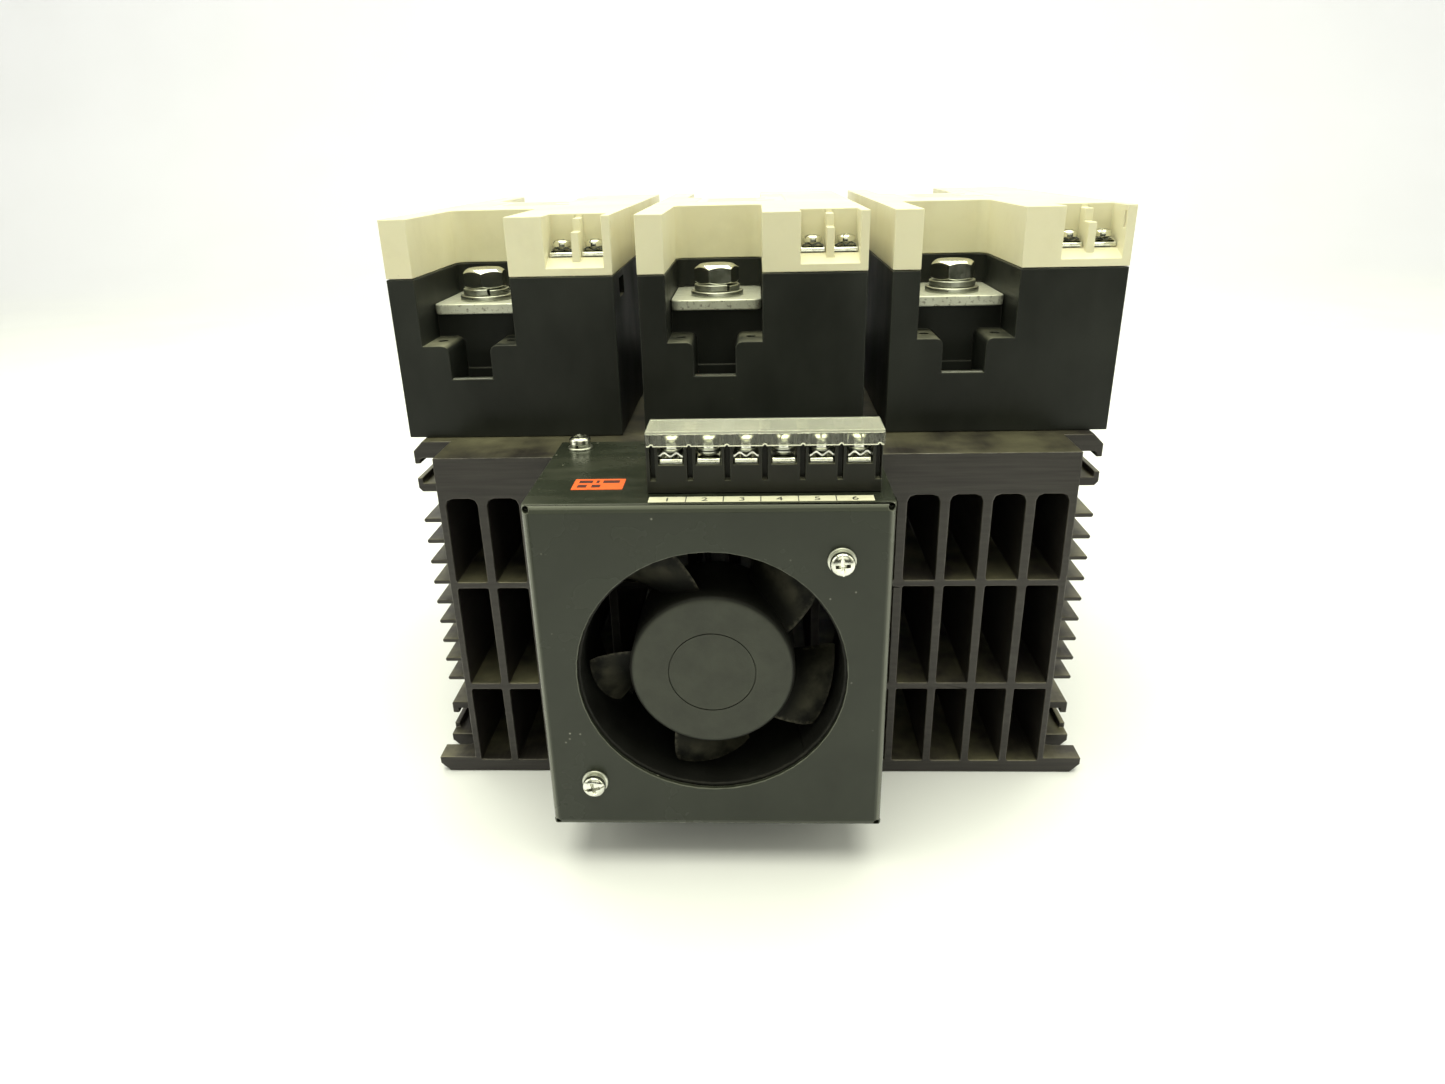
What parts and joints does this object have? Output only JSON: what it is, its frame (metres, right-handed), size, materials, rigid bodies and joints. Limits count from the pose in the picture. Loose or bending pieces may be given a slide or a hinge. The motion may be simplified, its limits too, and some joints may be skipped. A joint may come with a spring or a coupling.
{
  "type": "solid state relay",
  "caption": "Three-phase solid state relay assembly: beige and black relay modules on a finned heat sink with a boxed axial fan and a barrier terminal strip.",
  "frame": {"origin": "middle of the bounding box, on the mounting side", "axes": "+X to the right seen from the fan side, +Y from the fan towards the rear ends of the modules, +Z from the mounting side up to the relay covers"},
  "size_m": [0.2672, 0.3016, 0.2168],
  "materials": {
    "heat_sink": "satin brown-black anodised extrusion",
    "relay_base": "fine matte black moulding",
    "relay_cover": "satin warm beige moulding",
    "busbar": "tinned copper, satin grey",
    "hardware": "bright zinc plated",
    "power_module": "black epoxy case",
    "control_board": "green circuit board",
    "fan_cover": "semi-gloss black paint",
    "fan_frame": "black with dust",
    "fan_rotor": "matte dark grey with dust",
    "fan_stator": "laminated steel",
    "fan_shaft": "ground steel",
    "strip": "black moulding",
    "strip_cover": "clear, slightly yellowed",
    "thermostat": "dark phenolic case",
    "lead": "black insulation"
  },
  "bodies": {
    "unit": {"heat_sink": "heat_sink", "left_base": "relay_base", "left_cover": "relay_cover", "left_line_busbar": "busbar", "left_line_bolt": "hardware", "left_line_nut": "hardware", "left_load_busbar": "busbar", "left_load_bolt": "hardware", "left_load_nut": "hardware", "left_power_module": "power_module", "left_control_board": "control_board", "left_control_terminal_1": "hardware", "left_control_terminal_2": "hardware", "middle_base": "relay_base", "middle_cover": "relay_cover", "middle_line_busbar": "busbar", "middle_line_bolt": "hardware", "middle_line_nut": "hardware", "middle_load_busbar": "busbar", "middle_load_bolt": "hardware", "middle_load_nut": "hardware", "middle_power_module": "power_module", "middle_control_board": "control_board", "middle_control_terminal_1": "hardware", "middle_control_terminal_2": "hardware", "right_base": "relay_base", "right_cover": "relay_cover", "right_line_busbar": "busbar", "right_line_bolt": "hardware", "right_line_nut": "hardware", "right_load_busbar": "busbar", "right_load_bolt": "hardware", "right_load_nut": "hardware", "right_power_module": "power_module", "right_control_board": "control_board", "right_control_terminal_1": "hardware", "right_control_terminal_2": "hardware", "fan_cover": "fan_cover", "fan_housing": "fan_frame", "fan_stator": "fan_stator", "plate_screw_left": "hardware", "plate_screw_right": "hardware", "fan_screw_lower": "hardware", "fan_screw_upper": "hardware", "terminal_block": "strip", "strip_terminal_1": "hardware", "strip_terminal_2": "hardware", "strip_terminal_3": "hardware", "strip_terminal_4": "hardware", "strip_terminal_5": "hardware", "strip_terminal_6": "hardware", "thermostat": "thermostat", "fan_lead": "lead", "thermostat_lead": "lead"},
    "fan_wheel": {"fan_rotor": "fan_rotor", "fan_shaft": "fan_shaft"},
    "strip_cover": {"terminal_cover": "strip_cover"}
  },
  "joints": [
    {"name": "fan_spin", "type": "hinge", "parent": "unit", "child": "fan_wheel", "pos_m": [-0.0139, -0.1282, 0.0781], "axis": [0, 1, 0], "continuous": true},
    {"name": "strip_cover_lift", "type": "slide", "parent": "unit", "child": "strip_cover", "axis": [0, 0, 1], "range_m": [0, 0.02]}
  ]
}
